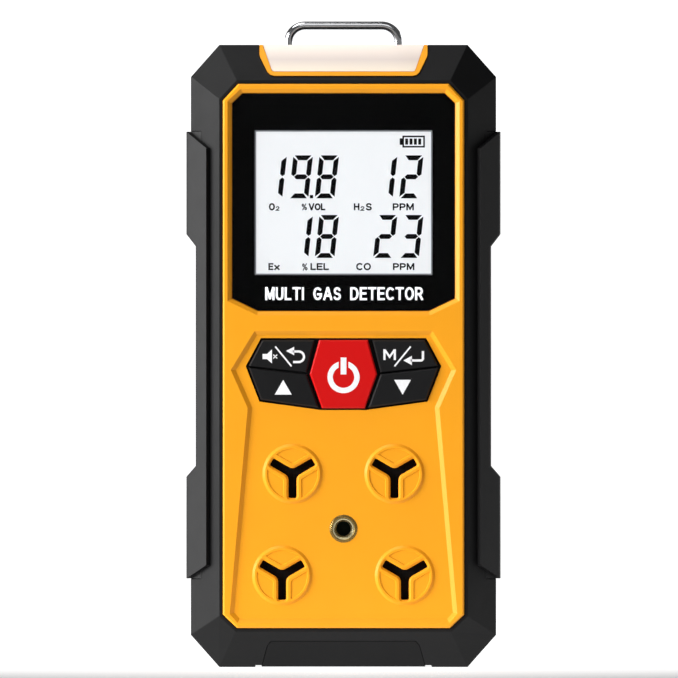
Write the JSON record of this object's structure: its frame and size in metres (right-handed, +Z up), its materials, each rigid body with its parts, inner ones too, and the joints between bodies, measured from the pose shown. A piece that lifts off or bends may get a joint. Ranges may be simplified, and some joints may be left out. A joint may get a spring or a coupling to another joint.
{
  "type": "portable gas detector",
  "caption": "Handheld gas detector with a display window, five keys, slotted sensor grilles, an alarm lens, rubber side grips, a port flap and a folding wire bail.",
  "frame": {"origin": "middle of the body's bounding box at the base, on the surface the detector stands on", "axes": "+Z up along the body, +Y towards the back face (the display faces -Y), +X to the right seen from the front"},
  "size_m": [0.07, 0.033, 0.1444],
  "materials": {
    "yellow_plastic": "satin moulded ABS, warm yellow",
    "black_bumper": "fine-textured black overmould",
    "black_cover": "fine-textured black ABS",
    "grip_rubber": "soft matte rubber",
    "window": "clear polished acrylic",
    "gasket": "matte",
    "lcd": "polarised glass, bright backlit ground",
    "backlight": "white diffuser",
    "contact_metal": "tinned",
    "alarm_lens": "translucent milky polycarbonate",
    "led": "clear epoxy",
    "red_key": "satin red key cap",
    "black_key": "satin black key cap",
    "membrane": "silicone",
    "circuit_board": "green solder mask",
    "sensor_can": "moulded cell body",
    "steel_can": "drawn steel can",
    "filter": "black porous membrane",
    "brass": "turned and knurled brass",
    "buzzer": "moulded",
    "weight_metal": "sintered tungsten",
    "battery": "shrink sleeve",
    "foam": "closed-cell foam",
    "ribbon": "polyester film",
    "flap_rubber": "fine-textured rubber",
    "screw_steel": "zinc plated",
    "bail_steel": "polished stainless wire",
    "label": "silver-grey polyester sticker, blank"
  },
  "bodies": {
    "housing": {"front_shell": "yellow_plastic", "bumper_frame": "black_bumper", "rear_cover": "black_cover", "side_grip_left": "grip_rubber", "side_grip_right": "grip_rubber", "display_window": "window", "window_gasket": "gasket", "lcd_panel": "lcd", "lcd_backlight": "backlight", "lcd_connectors": "contact_metal", "alarm_lens": "alarm_lens", "alarm_leds": "led", "keypad_membrane": "membrane", "key_switches": "contact_metal", "main_board": "circuit_board", "sensor_board": "circuit_board", "oxygen_sensor": "sensor_can", "hydrogen_sulfide_sensor": "sensor_can", "combustible_sensor": "steel_can", "carbon_monoxide_sensor": "sensor_can", "sensor_gaskets": "gasket", "dust_filters": "filter", "threaded_insert": "brass", "buzzer": "buzzer", "vibration_motor": "contact_metal", "battery": "battery", "battery_pad": "foam", "ribbon_cable": "ribbon", "ribbon_sockets": "ribbon", "usb_socket": "contact_metal", "housing_seal": "gasket", "case_screws": "screw_steel", "board_screws": "screw_steel", "rear_label": "label"},
    "power_button": {"power_key": "red_key"},
    "mute_button": {"mute_key": "black_key"},
    "mode_button": {"mode_key": "black_key"},
    "up_button": {"up_key": "black_key"},
    "down_button": {"down_key": "black_key"},
    "bail": {"wire_bail": "bail_steel"},
    "flap": {"port_cover": "flap_rubber"},
    "rotor": {"motor_weight": "weight_metal"}
  },
  "joints": [
    {"name": "power_press", "type": "slide", "parent": "housing", "child": "power_button", "axis": [0, 1, 0], "range_m": [0, 0.0005], "stiffness_N_per_m": 2500, "springref_m": -0.0003},
    {"name": "mute_press", "type": "slide", "parent": "housing", "child": "mute_button", "axis": [0, 1, 0], "range_m": [0, 0.0005], "stiffness_N_per_m": 2500, "springref_m": -0.0003},
    {"name": "mode_press", "type": "slide", "parent": "housing", "child": "mode_button", "axis": [0, 1, 0], "range_m": [0, 0.0005], "stiffness_N_per_m": 2500, "springref_m": -0.0003},
    {"name": "up_press", "type": "slide", "parent": "housing", "child": "up_button", "axis": [0, 1, 0], "range_m": [0, 0.0005], "stiffness_N_per_m": 2500, "springref_m": -0.0003},
    {"name": "down_press", "type": "slide", "parent": "housing", "child": "down_button", "axis": [0, 1, 0], "range_m": [0, 0.0005], "stiffness_N_per_m": 2500, "springref_m": -0.0003},
    {"name": "bail_hinge", "type": "hinge", "parent": "housing", "child": "bail", "pos_m": [0, 0.0149, 0.129], "axis": [-1, 0, 0], "range_deg": [0, 180]},
    {"name": "flap_hinge", "type": "hinge", "parent": "housing", "child": "flap", "pos_m": [0, 0.0086, 0.0014], "axis": [1, 0, 0], "range_deg": [0, 90]},
    {"name": "motor_spin", "type": "hinge", "parent": "housing", "child": "rotor", "pos_m": [0, -0.0016, 0.0605], "axis": [1, 0, 0], "continuous": true}
  ]
}
